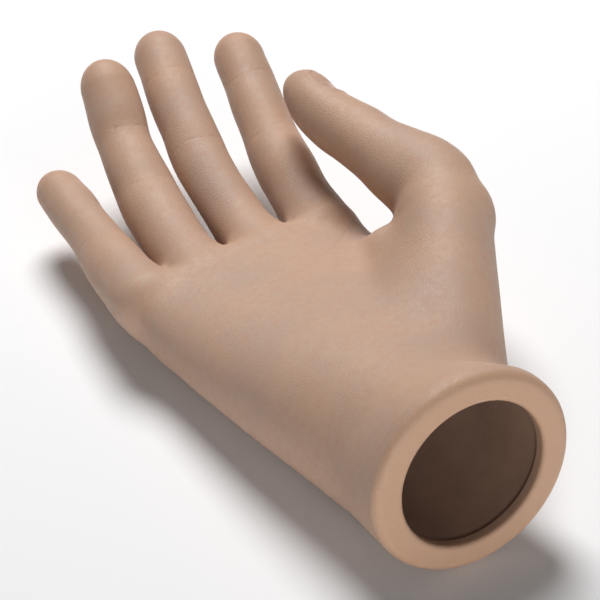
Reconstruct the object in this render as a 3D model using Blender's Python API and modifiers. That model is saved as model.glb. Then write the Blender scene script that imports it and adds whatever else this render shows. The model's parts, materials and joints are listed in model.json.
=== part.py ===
"""Passive prosthetic hand: a soft cosmetic glove over a rigid palm and hinged finger bones.

The right hand lies on its back, palm up. It is drawn in a hand frame, in millimetres: the origin is
the centre of the wrist rim, +Y runs to the fingertips, +X to the thumb side and +Z out of the palm.
The hand frame slopes down a little towards the knuckles, because the wrist rim is thicker than the
hand. Fingers bend towards +Z about friction hinges: a tongue on the outer bone turns on a pin
between two ears on the inner bone.
"""
from math import atan2, copysign, cos, pi, radians, sin, tau

import bmesh
import bpy
from mathutils import Matrix, Vector

MM = 0.001
GAP = 0.3                    # clearance between neighbouring pieces
REST_SLOPE = 6.7             # degrees from the wrist rim down to the knuckles

# Wrist end
RIM_R = 28.2                 # outside of the rim
RIM_ROUNDING = 2.0           # rounded outer edge of the rim
MOUTH_R = 20.5               # socket mouth
FLANGE = 2.5                 # glove thickness over the rim's end face
SOCKET_DEPTH = 46.0
SOCKET_END_R = 14.3          # the socket narrows to this inside radius
LINER = 1.2                  # liner wall
BULKHEAD = 4.0               # thickness of the plate that closes the socket
BULKHEAD_R = 15.0
STUD_R = 6.0                 # threaded hole for the wrist unit's M12 stud
BUSH_R = 7.6
BUSH_FLANGE_R = 9.2
BUSH_FLANGE = 1.5
SCREW_R = 1.5                # M3 cap screws
SCREW_HEAD_R = 2.2
SCREW_HEAD = 1.6
SCREW_LENGTH = 12.0
SCREW_CIRCLE_R = 11.8
SCREW_COUNT = 3
SCREW_CLEARANCE = 0.2        # between a screw's shank and its hole

# Glove
GLOVE = 1.5                  # wall thickness
RING_SIDES = 10              # facets round a digit
THENAR_SIDES = 14            # facets round the thumb muscle
PALM_SIDES = 20              # facets round the palm
CORE_EASE = 0.4              # the palm core is a little slimmer than the glove's hollow,
THENAR_EASE = 1.0            # and slimmer still in the thumb muscle, where the glove bends

# Hand outline: distance from the rim, little-finger side, thumb side, back, palm,
# squareness of the section, and skew (how much further the thumb side reaches)
PALM_SECTIONS = (
    (4, -28.2, 28.1, -27.5, 28.1, 2.0, 0.00),
    (10, -28.2, 26.6, -26.4, 25.6, 2.0, 0.00),
    (18, -28.1, 24.0, -24.9, 22.4, 2.0, 0.00),
    (28, -29.3, 24.0, -23.5, 20.6, 2.1, 0.00),
    (40, -31.3, 27.5, -22.0, 19.6, 2.2, 0.00),
    (55, -33.9, 32.0, -20.3, 18.2, 2.3, 0.02),
    (75, -36.5, 36.5, -18.2, 15.8, 2.4, 0.05),
    (95, -38.7, 37.5, -15.9, 14.0, 2.5, 0.08),
    (110, -40.5, 36.0, -12.8, 13.6, 2.6, 0.10),
    (116, -40.8, 34.2, -9.0, 13.0, 2.6, 0.10),
    (120, -39.4, 31.5, -4.0, 10.0, 2.5, 0.10),
)
# Thumb muscle: centre line and half width, from the wrist to the thumb's base
THENAR = (
    ((7, 14, 0), 8.0),
    ((18, 34, 5.5), 11.2),
    ((25.4, 50, 9.5), 13.0),
    ((32.8, 64, 14.5), 13.4),
    ((40.4, 76, 20.3), 12.6),
)
THENAR_END = -9.0            # from here on, along the thumb, the muscle keeps the thumb's section
# The fold of flesh between the thumb and the index finger
THUMB_WEB = (
    ((4, 30, 2), 9.0),
    ((15, 48, 5.5), 12.0),
    ((24, 64, 8.5), 12.5),
    ((30.5, 78, 10.5), 11.2),
    ((31.2, 90, 9), 8.6),
    ((29.8, 98, 6.5), 6.2),
)

# Digits: root point, then for each bone its heading (towards the thumb side), rise out of the palm
# plane and length, in degrees and millimetres. The last bone's length runs to the fingertip.
# "hinge" is how far past the root the first hinge lies, "cut" where the palm glove stops, and
# "widths" are the widths at the root, at each joint and at the fingertip pad.
PALM_UP = Vector((0, 0, 1))
THUMB_PAD = Vector((-0.76, 0.16, -0.63))
DIGITS = {
    "index": dict(root=(26.3, 127.9, 5.3), headings=(5.3, 10.4, 13.9), rises=(22.5, 21.5, 21.5),
                  lengths=(32.3, 24.1, 22.0), hinge=6.5, cut=0.0,
                  widths=(18.6, 17.0, 16.2, 15.6), pad=PALM_UP),
    "middle": dict(root=(4.7, 129.7, 5.4), headings=(2.7, 7.4, 14.7), rises=(22.2, 25.0, 20.0),
                   lengths=(35.2, 28.5, 21.7), hinge=6.5, cut=0.0,
                   widths=(18.2, 17.0, 16.6, 16.0), pad=PALM_UP),
    "ring": dict(root=(-16.4, 127.0, 5.7), headings=(4.2, 6.9, 10.2), rises=(12.5, 23.7, 39.0),
                 lengths=(30.2, 24.1, 27.2), hinge=6.5, cut=0.0,
                 widths=(18.6, 18.2, 16.8, 16.6), pad=PALM_UP),
    "little": dict(root=(-35.6, 120.7, 5.6), headings=(1.8, 0.8, 0.4), rises=(5.0, 6.6, 8.6),
                   lengths=(22.0, 19.1, 21.7), hinge=8.0, cut=2.5,
                   widths=(17.0, 16.0, 14.8, 14.4), pad=PALM_UP),
    "thumb": dict(root=(46.0, 92.7, 25.8), headings=(-12.0, -9.0), rises=(9.0, 15.0),
                  lengths=(34.0, 28.8), hinge=0.0, cut=-7.0,
                  widths=(23.0, 19.6, 16.6), pad=THUMB_PAD),
}
FINGER_JOINTS = ("knuckle", "middle_joint", "end_joint")
THUMB_JOINTS = ("base_joint", "end_joint")
BONES = {
    "finger": ("proximal", "middle", "distal"),
    "thumb": ("proximal", "distal"),
}
THICKNESS = 0.93             # a digit's thickness over its width
STUB = 15.0                  # how deep the digit's root runs into the palm
STATION = 7.0                # the glove sections have a ring about this often
STUB_TAPER = 2.0             # the root's inner end is this much slimmer all round
BEND_SPREAD = 5.0            # the skin's centre line rounds each bend over this length

# Hinges, as shares of the digit's width at the joint, and fixed sizes
KNUCKLE_SHARE = 0.255        # radius of the ears and of the tongue's eye
EARS_SHARE = 0.235           # outer half width over the two ears
TONGUE_HALF = 1.5
PIN_R = 1.25
BORE_R = 1.5
SHOULDER = 0.8               # clearance between an eye and the shoulder that faces it
HINGE_SIDES = 10

# Nails
NAIL_LENGTH = 9.5
NAIL_BACK = 12.5             # the nail's root lies this far from the fingertip
NAIL_DROOP = 5.0             # degrees that the nail leans in towards the fingertip
NAIL_HALF_ANGLE = 44.0
NAIL = 0.7

SILICONE = ((0.52, 0.33, 0.23), 0.55, 0.0)
RIGID_FOAM = ((0.70, 0.62, 0.45), 0.7, 0.0)
LAMINATE = ((0.07, 0.035, 0.02), 0.45, 0.0)
ALUMINIUM = ((0.75, 0.75, 0.77), 0.35, 1.0)
STEEL = ((0.55, 0.55, 0.57), 0.3, 1.0)
ACETAL = ((0.82, 0.80, 0.74), 0.45, 0.0)
ACRYLIC = ((0.62, 0.42, 0.33), 0.25, 0.0)


# ---------------------------------------------------------------- scene helpers

def clear_scene():
    for obj in list(bpy.data.objects):
        bpy.data.objects.remove(obj)


def new_collection(name):
    collection = bpy.data.collections.new(name)
    bpy.context.scene.collection.children.link(collection)
    return collection


def material(name, finish):
    colour, roughness, metallic = finish
    mat = bpy.data.materials.new(name)
    mat.use_nodes = True
    shader = mat.node_tree.nodes["Principled BSDF"]
    shader.inputs["Base Color"].default_value = (*colour, 1)
    shader.inputs["Roughness"].default_value = roughness
    shader.inputs["Metallic"].default_value = metallic
    return mat


def new_empty(name, parent, matrix):
    empty = bpy.data.objects.new(name, None)
    empty.empty_display_size = 5 * MM
    PARTS.objects.link(empty)
    empty.parent = parent
    empty.matrix_local = matrix
    return empty


class Frame:
    """A place that pieces hang from: the hand itself, or a joint's axis. Sizes in millimetres."""

    def __init__(self, name, matrix, parent=None):
        self.matrix = matrix
        local = parent.matrix.inverted() @ matrix if parent else matrix
        local = local.copy()
        local.translation *= MM
        self.empty = new_empty(name, parent.empty if parent else None, local)


def mesh_from(bm, frame):
    """Turn hand-frame millimetres into a mesh in the frame's own metres."""
    bmesh.ops.recalc_face_normals(bm, faces=bm.faces)
    bm.transform(Matrix.Scale(MM, 4) @ frame.matrix.inverted())
    mesh = bpy.data.meshes.new("mesh")
    bm.to_mesh(mesh)
    bm.free()
    return mesh


def piece(name, bm, frame, finish):
    mesh = mesh_from(bm, frame)
    mesh.materials.append(material(name, finish))
    mesh.shade_smooth()
    mesh.set_sharp_from_angle(angle=radians(35))
    obj = bpy.data.objects.new(name, mesh)
    PARTS.objects.link(obj)
    obj.parent = frame.empty
    return obj


def guide(name, bm, frame):
    """A shape that is only added to, or cut out of, a piece."""
    obj = bpy.data.objects.new(name, mesh_from(bm, frame))
    GUIDES.objects.link(obj)
    obj.parent = frame.empty
    obj.hide_render = True
    obj.display_type = "WIRE"
    return obj


def combine(obj, operation, guides):
    for other in guides:
        modifier = obj.modifiers.new(other.name, "BOOLEAN")
        modifier.operation = operation
        modifier.solver = "EXACT"
        modifier.object = other


# ---------------------------------------------------------------- shapes

def smoothed(points, distance):
    """The polyline's point at a distance along it, with its corners rounded."""
    return sum((straight(points, distance + step) for step in (-BEND_SPREAD, 0, BEND_SPREAD)),
               Vector()) / 3


def straight(points, distance):
    """The polyline's point at a distance along it; its ends run on in a straight line."""
    for index in range(len(points) - 1):
        start, end = points[index], points[index + 1]
        length = (end - start).length
        if distance <= length or index == len(points) - 2:
            return start + (end - start) * (distance / length)
        distance -= length


def interpolate(knots, x):
    """Value at x of a line through (x, value) knots, level beyond its ends."""
    if x <= knots[0][0]:
        return knots[0][1]
    for (x0, v0), (x1, v1) in zip(knots, knots[1:]):
        if x <= x1:
            return v0 + (v1 - v0) * (x - x0) / (x1 - x0)
    return knots[-1][1]


def signed_power(value, power):
    return copysign(abs(value) ** power, value)


def ring(centre, side, up, half_x, half_z, sides, squareness=2.0):
    """Points round an ellipse, or with more squareness a rounded box."""
    points = []
    for index in range(sides):
        angle = tau * (index + 0.5) / sides
        x = half_x * signed_power(cos(angle), 2 / squareness)
        z = half_z * signed_power(sin(angle), 2 / squareness)
        points.append(centre + side * x + up * z)
    return points


def add_skin(bm, rings):
    """Quads between successive rings. Returns the rings' vertices."""
    loops = [[bm.verts.new(point) for point in points] for points in rings]
    for lower, upper in zip(loops, loops[1:]):
        join_loops(bm, lower, upper)
    return loops


def join_loops(bm, lower, upper):
    count = len(lower)
    for index in range(count):
        after = (index + 1) % count
        bm.faces.new((lower[index], lower[after], upper[after], upper[index]))


def loft(rings):
    """A solid through the rings, with flat ends."""
    bm = bmesh.new()
    loops = add_skin(bm, rings)
    bm.faces.new(loops[0])
    bm.faces.new(loops[-1])
    return bm


def sleeve(outer, inner, closed_tip):
    """A wall between two sets of rings, open at the start, and at the end unless it is a tip."""
    bm = bmesh.new()
    outside = add_skin(bm, outer)
    inside = add_skin(bm, inner)
    join_loops(bm, outside[0], inside[0])
    if closed_tip:
        bm.faces.new(outside[-1])
        bm.faces.new(inside[-1])
    else:
        join_loops(bm, outside[-1], inside[-1])
    return bm


def plate(outline, matrix, low_x, high_x):
    """An outline in the matrix's YZ plane, made solid between two X values."""
    bm = bmesh.new()
    near = [bm.verts.new(matrix @ Vector((low_x, y, z))) for y, z in outline]
    far = [bm.verts.new(matrix @ Vector((high_x, y, z))) for y, z in outline]
    join_loops(bm, near, far)
    bm.faces.new(near)
    bm.faces.new(far)
    return bm


def axle(frame, radius, half_length, sides=HINGE_SIDES):
    """A round bar along the frame's X axis."""
    bm = bmesh.new()
    matrix = frame.matrix @ Matrix.Rotation(pi / 2, 4, "Y")
    bmesh.ops.create_cone(bm, cap_ends=True, segments=sides, radius1=radius, radius2=radius,
                          depth=2 * half_length, matrix=matrix)
    return bm


def bar_along_y(centre_x, centre_z, radius, start, end, sides=16):
    """A round bar along the hand's Y axis."""
    bm = bmesh.new()
    matrix = Matrix.Translation((centre_x, (start + end) / 2, centre_z)) @ Matrix.Rotation(pi / 2, 4, "X")
    bmesh.ops.create_cone(bm, cap_ends=True, segments=sides, radius1=radius, radius2=radius,
                          depth=end - start, matrix=matrix)
    return bm


def turned(name, profile, hand, finish, steps=24):
    """A turned ring about the hand's Y axis. The profile lists (radius, y) round the section."""
    bm = bmesh.new()
    verts = [bm.verts.new((radius * MM, 0, y * MM)) for radius, y in profile]
    for index, vert in enumerate(verts):
        bm.edges.new((vert, verts[(index + 1) % len(verts)]))
    mesh = bpy.data.meshes.new(name)
    bm.to_mesh(mesh)
    bm.free()
    mesh.materials.append(material(name, finish))
    obj = bpy.data.objects.new(name, mesh)
    PARTS.objects.link(obj)
    obj.parent = hand.empty
    obj.rotation_euler = (-pi / 2, 0, 0)
    screw = obj.modifiers.new("turn", "SCREW")
    screw.steps = steps
    screw.render_steps = steps
    screw.use_merge_vertices = True
    screw.merge_threshold = 0.00001
    return obj


# ---------------------------------------------------------------- digits

def heading(bearing, rise):
    bearing, rise = radians(bearing), radians(rise)
    return Vector((sin(bearing) * cos(rise), cos(bearing) * cos(rise), sin(rise)))


class Digit:
    """One finger or the thumb: its bones' line, widths and joint frames."""

    def __init__(self, name, spec, hand):
        self.name = name
        self.spec = spec
        kind = "thumb" if name == "thumb" else "finger"
        self.bones = BONES[kind]
        self.joints = THUMB_JOINTS if kind == "thumb" else FINGER_JOINTS
        self.ways = [heading(*angles) for angles in zip(spec["headings"], spec["rises"])]
        self.points = [Vector(spec["root"])]
        for way, length in zip(self.ways, spec["lengths"]):
            self.points.append(self.points[-1] + way * length)
        self.stops = [0.0]
        for length in spec["lengths"]:
            self.stops.append(self.stops[-1] + length)
        self.tip = self.stops[-1]
        self.hinges = [spec["hinge"], *self.stops[1:-1]]
        self.frames = []
        for index in range(len(self.joints)):
            parent = self.frames[-1] if self.frames else hand
            self.frames.append(self.joint_frame(index, parent))

    def joint_frame(self, index, parent):
        """Origin on the hinge, X along its axis, Y along the outer bone, Z to the pad's side."""
        outer = self.ways[index]
        inner = self.ways[max(index - 1, 0)]
        pad = self.spec["pad"]
        across = (inner + outer).cross(pad).normalized()
        along = (outer - across * outer.dot(across)).normalized()
        matrix = Matrix((across, along, across.cross(along))).transposed().to_4x4()
        matrix.translation = straight(self.points, self.hinges[index])
        return Frame(f"{self.name}_{self.joints[index]}", matrix, parent)

    def width(self, distance):
        knots = list(zip(self.stops[:-1], self.spec["widths"]))
        knots.append((self.tip - self.cap(), self.spec["widths"][-1]))
        return interpolate(knots, distance)

    def cap(self):
        """Length of the rounded fingertip."""
        return 0.6 * self.spec["widths"][-1]

    def ring(self, distance, inset, sides=RING_SIDES):
        centre = smoothed(self.points, distance)
        way = (smoothed(self.points, distance + 1) - smoothed(self.points, distance - 1)).normalized()
        side = way.cross(self.spec["pad"]).normalized()
        half = self.width(distance) / 2 - inset
        remaining = (self.tip - inset - distance) / self.cap()
        if remaining < 1:
            half *= (1 - (1 - max(remaining, 0.0)) ** 2.2) ** (1 / 2.2)
        thickness = half * THICKNESS
        return ring(centre, side, side.cross(way), half, thickness, sides)

    def stations(self, start, end, inset):
        """Distances of the rings of a glove section, closer together at the rounded tip."""
        count = max(2, round((end - start) / STATION))
        if end < self.tip:
            return [start + (end - start) * index / count for index in range(count + 1)]
        cap = self.cap()
        straight_end = end - cap
        body = [start + (straight_end - start) * index / count for index in range(count)]
        return body + [end - inset - cap * share for share in (1, 0.6, 0.28, 0.04)]

    def knuckle_r(self, index):
        return KNUCKLE_SHARE * self.width(self.hinges[index])

    def ears_half(self, index):
        return EARS_SHARE * self.width(self.hinges[index])

    def shoulder(self, index):
        """Distance from a hinge to the shoulders of both its bones."""
        return self.knuckle_r(index) + SHOULDER


def eye_outline(radius, reach):
    """A round eye about the hinge with an arm along +Y, in the joint's YZ plane."""
    count = HINGE_SIDES
    arc = [radians(60 + 240 * index / count) for index in range(count + 1)]
    outline = [(radius * cos(angle), radius * sin(angle)) for angle in arc]
    top = radius * sin(radians(60))
    return outline + [(reach, -top), (reach, top)]


def tongue(digit, index):
    """The outer bone's eye, between the ears."""
    frame = digit.frames[index]
    reach = digit.shoulder(index) + 1.5
    outline = eye_outline(digit.knuckle_r(index), reach)
    return guide(f"{digit.name}_tongue_{index}", plate(outline, frame.matrix, -TONGUE_HALF, TONGUE_HALF), frame)


def ears(digit, index, frame):
    """The inner bone's two eyes, turned to run back along that bone."""
    joint = digit.frames[index]
    inner_way = digit.ways[max(index - 1, 0)]
    local = joint.matrix.to_3x3().inverted() @ -inner_way
    turn = Matrix.Rotation(atan2(local.z, local.y), 4, "X")
    backward = joint.matrix @ turn
    outline = eye_outline(digit.knuckle_r(index), digit.shoulder(index) + 1.5)
    slot, half = TONGUE_HALF + GAP, digit.ears_half(index)
    shapes = []
    for side, (low, high) in enumerate(((-half, -slot), (slot, half))):
        bm = plate(outline, backward, low, high)
        shapes.append(guide(f"{digit.name}_ear_{index}_{side}", bm, frame))
    return shapes


def bore(digit, index, frame):
    bm = axle(digit.frames[index], BORE_R, digit.ears_half(index) + 2)
    return guide(f"{digit.name}_bore_{index}_{frame.empty.name}", bm, frame)


def bone_ring(digit, distance, share):
    """A ring of the rigid bone, well inside the glove."""
    centre = straight(digit.points, distance)
    index = sum(distance > stop for stop in digit.stops[1:-1])
    side = digit.ways[index].cross(digit.spec["pad"]).normalized()
    half = (digit.width(distance) / 2 - GLOVE) * 0.9 - GAP
    return ring(centre, side, side.cross(digit.ways[index]), half * share, half * share * THICKNESS,
                RING_SIDES)


def make_bone(digit, index):
    frame = digit.frames[index]
    last = index == len(digit.bones) - 1
    start = digit.hinges[index] + digit.shoulder(index)
    if last:
        end = digit.tip - GLOVE - 2.0
        rings = [bone_ring(digit, start, 1.0)]
        rings += [bone_ring(digit, end - digit.cap() * step, share)
                  for step, share in ((1.0, 0.92), (0.5, 0.78), (0.0, 0.42))]
    else:
        end = digit.hinges[index + 1] - digit.shoulder(index + 1)
        rings = [bone_ring(digit, start, 1.0), bone_ring(digit, (start + end) / 2, 0.88),
                 bone_ring(digit, end, 1.0)]
    bone = piece(f"{digit.name}_{digit.bones[index]}_bone", loft(rings), frame, ACETAL)
    combine(bone, "UNION", [tongue(digit, index)])
    bores = [bore(digit, index, frame)]
    if not last:
        combine(bone, "UNION", ears(digit, index + 1, frame))
        bores.append(bore(digit, index + 1, frame))
    combine(bone, "DIFFERENCE", bores)


def make_pin(digit, index, frame):
    """The hinge pin is fast in the ears, so it stays with the inner bone."""
    name = f"{digit.name}_{digit.joints[index]}_pin"
    piece(name, axle(digit.frames[index], PIN_R, digit.ears_half(index) + 0.1), frame, STEEL)


def make_sleeve(digit, index):
    """The glove from half way along the bone before a joint to half way along the next."""
    last = index == len(digit.bones) - 1
    if index:
        start = (digit.hinges[index - 1] + digit.hinges[index]) / 2
    else:
        start = digit.spec["cut"]
    end = digit.tip if last else (digit.hinges[index] + digit.hinges[index + 1]) / 2
    start += GAP / 2
    end -= 0 if last else GAP / 2
    outer = [digit.ring(s, 0) for s in digit.stations(start, end, 0)]
    inner = [digit.ring(s, GLOVE) for s in digit.stations(start, end, GLOVE)]
    name = f"{digit.name}_glove_{digit.joints[index]}"
    piece(name, sleeve(outer, inner, last), digit.frames[index], SILICONE)


def make_nail(digit):
    """A curved plate that lies on the back of the fingertip."""
    rows, columns = 5, 6
    layers = []
    for offset in (-GAP, -GAP - NAIL):
        grid = []
        for row in range(rows):
            distance = digit.tip - NAIL_BACK + NAIL_LENGTH * row / (rows - 1)
            grid.append(nail_row(digit, distance, offset, columns))
        layers.append(grid)
    bm = bmesh.new()
    under, over = ([[bm.verts.new(point) for point in line] for line in grid] for grid in layers)
    for grid in (under, over):
        for line, after in zip(grid, grid[1:]):
            for a, b, c, d in zip(line, line[1:], after[1:], after):
                bm.faces.new((a, b, c, d))
    edge_under, edge_over = border(under), border(over)
    join_loops(bm, edge_under, edge_over)
    piece(f"{digit.name}_nail", bm, digit.frames[-1], ACRYLIC)


def nail_row(digit, distance, offset, columns):
    """Points across the nail, on the glove's section grown by the offset."""
    held = min(distance, digit.tip - digit.cap())
    side = digit.ways[-1].cross(digit.spec["pad"]).normalized()
    up = side.cross(digit.ways[-1])
    lean = max(distance - held, 0) * sin(radians(NAIL_DROOP))
    centre = smoothed(digit.points, distance) + up * lean
    half = digit.width(held) / 2 - offset
    row = []
    for column in range(columns):
        angle = radians(-90 + NAIL_HALF_ANGLE * (2 * column / (columns - 1) - 1))
        row.append(centre + side * half * cos(angle)
                   + up * (half + offset) * THICKNESS * sin(angle) - up * offset * sin(angle))
    return row


def border(grid):
    """The vertices round a grid's edge, in order."""
    right = [line[-1] for line in grid[1:-1]]
    left = [line[0] for line in reversed(grid[1:-1])]
    return grid[0] + right + list(reversed(grid[-1])) + left


# ---------------------------------------------------------------- palm

def palm_ring(section, inset):
    y, left, right, back, front, squareness, skew = section
    centre = Vector(((left + right) / 2, y, (back + front) / 2))
    side = Vector((1, skew, 0))
    half_x, half_z = (right - left) / 2 - inset, (front - back) / 2 - inset
    return ring(centre, side, PALM_UP, half_x, half_z, PALM_SIDES, squareness)


def rim_rings():
    """The wrist end, with its rounded outer edge."""
    steps = 3
    rings = []
    for step in range(steps + 1):
        angle = pi / 2 * step / steps
        radius = RIM_R - RIM_ROUNDING * (1 - sin(angle))
        centre = Vector((0, RIM_ROUNDING * (1 - cos(angle)), 0))
        rings.append(ring(centre, Vector((1, 0, 0)), PALM_UP, radius, radius, PALM_SIDES))
    return rings


def palm_body(inset, start, end_trim):
    """The palm from the wrist to the webs between the fingers, shrunk by the inset."""
    sections = [list(section) for section in PALM_SECTIONS]
    sections[-1][0] -= end_trim
    rings = [palm_ring(section, inset) for section in sections]
    if start == 0:
        return loft(rim_rings() + rings)
    opening = [start, -RIM_R, RIM_R, -RIM_R, RIM_R, 2.0, 0.0]
    return loft([palm_ring(opening, inset)] + rings)


def thenar_body(inset, end):
    """The muscle at the base of the thumb, as far as a distance past the thumb's root."""
    digit = DIGITS["thumb"]
    way = heading(digit["headings"][0], digit["rises"][0])
    root, half = Vector(digit["root"]), digit["widths"][0] / 2
    rings = fleshy_rings((*THENAR, (root + way * THENAR_END, half)), inset)[:-1]
    rings += [flesh_ring(root + way * distance, way, half - inset) for distance in (THENAR_END, end)]
    return loft(rings)


def fleshy_rings(stations, inset):
    """Rings along a muscle, each square to the line through its neighbours."""
    points = [Vector(point) for point, _ in stations]
    rings = []
    for index, (_, half) in enumerate(stations):
        before, after = points[max(index - 1, 0)], points[min(index + 1, len(points) - 1)]
        rings.append(flesh_ring(points[index], (after - before).normalized(), half - inset))
    return rings


def flesh_ring(centre, direction, half):
    side = direction.cross(THUMB_PAD).normalized()
    return ring(centre, side, side.cross(direction), half, half * THICKNESS, THENAR_SIDES)


def stub_body(digit, inset, end):
    """The root of a finger, from inside the palm to a distance past its root."""
    count = 3
    rings = []
    start = inset - STUB
    rings.append(digit.ring(start, inset + STUB_TAPER))
    for index in range(1, count + 1):
        rings.append(digit.ring(start + (end - start) * index / count, inset))
    return loft(rings)


def palm_shapes(label, hand, fingers, inset, ends, thumb_end, thenar_ease=0):
    """The thumb muscle and the finger roots, to join to the palm or cut from it."""
    flesh = inset + thenar_ease
    shapes = [guide(f"{label}_thenar", thenar_body(flesh, thumb_end), hand),
              guide(f"{label}_thumb_web", loft(fleshy_rings(THUMB_WEB, flesh)), hand)]
    for digit, end in zip(fingers, ends):
        shapes.append(guide(f"{label}_{digit.name}_root", stub_body(digit, inset, end), hand))
    return shapes


def make_palm_glove(hand, fingers, thumb):
    glove = piece("palm_glove", palm_body(0, 0, 0), hand, SILICONE)
    mouth = guide("mouth", bar_along_y(0, 0, MOUTH_R, -5, FLANGE + 1, 32), hand)
    combine(glove, "DIFFERENCE", [mouth])
    cuts = [digit.spec["cut"] - GAP / 2 for digit in fingers]
    thumb_cut = thumb.spec["cut"] - GAP / 2
    combine(glove, "UNION", palm_shapes("skin", hand, fingers, 0, cuts, thumb_cut))
    hollow = guide("hollow_palm", palm_body(GLOVE, FLANGE, GLOVE), hand)
    beyond = [cut + 2 for cut in cuts]
    combine(glove, "DIFFERENCE", [hollow])
    combine(glove, "DIFFERENCE", palm_shapes("hollow", hand, fingers, GLOVE, beyond, thumb_cut + 2))


def liner_radius(y):
    """Inside radius of the socket liner, which narrows evenly to the bulkhead."""
    start = FLANGE + GAP
    return MOUTH_R + GAP + (SOCKET_END_R - MOUTH_R - GAP) * (y - start) / (SOCKET_DEPTH - start)


def socket_cutter(hand):
    """The liner's seat and the bulkhead's pocket."""
    clearance = LINER + GAP
    start, end = FLANGE - 1, SOCKET_DEPTH + GAP / 2
    pocket_r = BULKHEAD_R + GAP
    floor = SOCKET_DEPTH + BULKHEAD + 2 * GAP
    profile = ((liner_radius(start) + clearance, start), (liner_radius(end) + clearance, end),
               (pocket_r, end), (pocket_r, floor))
    rings = [ring(Vector((0, y, 0)), Vector((1, 0, 0)), PALM_UP, r, r, 24) for r, y in profile]
    return guide("socket_cutter", loft(rings), hand)


def screw_places():
    for index in range(SCREW_COUNT):
        angle = tau * index / SCREW_COUNT + pi / 2
        yield SCREW_CIRCLE_R * cos(angle), SCREW_CIRCLE_R * sin(angle)


def make_palm_core(hand, fingers, thumb):
    inset = GLOVE + GAP + CORE_EASE
    core = piece("palm_core", palm_body(inset, FLANGE + GAP, inset), hand, RIGID_FOAM)
    ends = [digit.hinges[0] - digit.shoulder(0) for digit in fingers]
    thumb_end = thumb.hinges[0] - thumb.shoulder(0)
    combine(core, "UNION", palm_shapes("core", hand, fingers, inset, ends, thumb_end, THENAR_EASE))
    for digit in (*fingers, thumb):
        combine(core, "UNION", ears(digit, 0, hand))
        combine(core, "DIFFERENCE", [bore(digit, 0, hand)])
    floor = SOCKET_DEPTH + BULKHEAD
    holes = [guide("stud_hole", bar_along_y(0, 0, BUSH_R + GAP, floor - 1, floor + 14), hand)]
    for index, (x, z) in enumerate(screw_places()):
        shape = bar_along_y(x, z, SCREW_R + SCREW_CLEARANCE, floor - 1, floor + SCREW_LENGTH - 3, 8)
        holes.append(guide(f"core_screw_hole_{index}", shape, hand))
    combine(core, "DIFFERENCE", [socket_cutter(hand), *holes])


# ---------------------------------------------------------------- wrist fittings

def make_liner(hand):
    start, end = FLANGE + GAP, SOCKET_DEPTH
    profile = ((liner_radius(end) + LINER, end), (liner_radius(start) + LINER, start),
               (liner_radius(start), start), (liner_radius(end), end))
    turned("wrist_liner", profile, hand, LAMINATE)


def make_bulkhead(hand):
    low, high = SOCKET_DEPTH + GAP, SOCKET_DEPTH + GAP + BULKHEAD
    hole = BUSH_R + GAP
    profile = ((BULKHEAD_R, high), (BULKHEAD_R, low), (hole, low), (hole, high))
    bulkhead = turned("bulkhead_plate", profile, hand, ALUMINIUM, steps=30)
    holes = []
    for index, (x, z) in enumerate(screw_places()):
        shape = bar_along_y(x, z, SCREW_R + SCREW_CLEARANCE, low - 1, high + 1, 8)
        holes.append(guide(f"plate_screw_hole_{index}", shape, hand))
    combine(bulkhead, "DIFFERENCE", holes)


def make_bush(hand):
    low, high = SOCKET_DEPTH - BUSH_FLANGE, SOCKET_DEPTH + BULKHEAD + 10
    seat = SOCKET_DEPTH
    profile = ((BUSH_R, high), (BUSH_R, seat), (BUSH_FLANGE_R, seat), (BUSH_FLANGE_R, low),
               (STUD_R, low), (STUD_R, high))
    turned("stud_bush", profile, hand, STEEL)


def make_screws(hand):
    for index, place in enumerate(screw_places(), start=1):
        seat = SOCKET_DEPTH
        tip = seat + SCREW_LENGTH
        profile = ((SCREW_R, tip), (SCREW_R, seat), (SCREW_HEAD_R, seat),
                   (SCREW_HEAD_R, seat - SCREW_HEAD))
        bm = bmesh.new()
        rings = [ring(Vector((place[0], y, place[1])), Vector((1, 0, 0)), PALM_UP, r, r, 8)
                 for r, y in profile]
        loops = add_skin(bm, rings)
        bm.faces.new(loops[0])
        bm.faces.new(loops[-1])
        piece(f"bulkhead_screw_{index}", bm, hand, STEEL)


# ---------------------------------------------------------------- assembly

def rest_on_floor(hand):
    """Move the whole hand so that its box stands centred on the origin, on the floor."""
    bpy.context.view_layer.update()
    graph = bpy.context.evaluated_depsgraph_get()
    low, high = Vector((1, 1, 1)), Vector((-1, -1, -1))
    for obj in PARTS.objects:
        if obj.type != "MESH":
            continue
        evaluated = obj.evaluated_get(graph)
        mesh = evaluated.to_mesh()
        for vert in mesh.vertices:
            point = obj.matrix_world @ vert.co
            low = Vector(map(min, low, point))
            high = Vector(map(max, high, point))
        evaluated.to_mesh_clear()
    centre = (low + high) / 2
    hand.empty.location -= Vector((centre.x, centre.y, low.z))


def build():
    hand = Frame("hand_frame", Matrix.Identity(4))
    hand.empty.rotation_euler = (-radians(REST_SLOPE), 0, 0)
    digits = [Digit(name, spec, hand) for name, spec in DIGITS.items()]
    fingers, thumb = digits[:-1], digits[-1]
    make_palm_glove(hand, fingers, thumb)
    make_palm_core(hand, fingers, thumb)
    make_liner(hand)
    make_bulkhead(hand)
    make_bush(hand)
    make_screws(hand)
    for digit in digits:
        for index in range(len(digit.bones)):
            inner = digit.frames[index - 1] if index else hand
            make_bone(digit, index)
            make_pin(digit, index, inner)
            make_sleeve(digit, index)
        make_nail(digit)
    rest_on_floor(hand)


clear_scene()
PARTS = new_collection("prosthetic_hand")
GUIDES = new_collection("cutters")
build()
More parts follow.
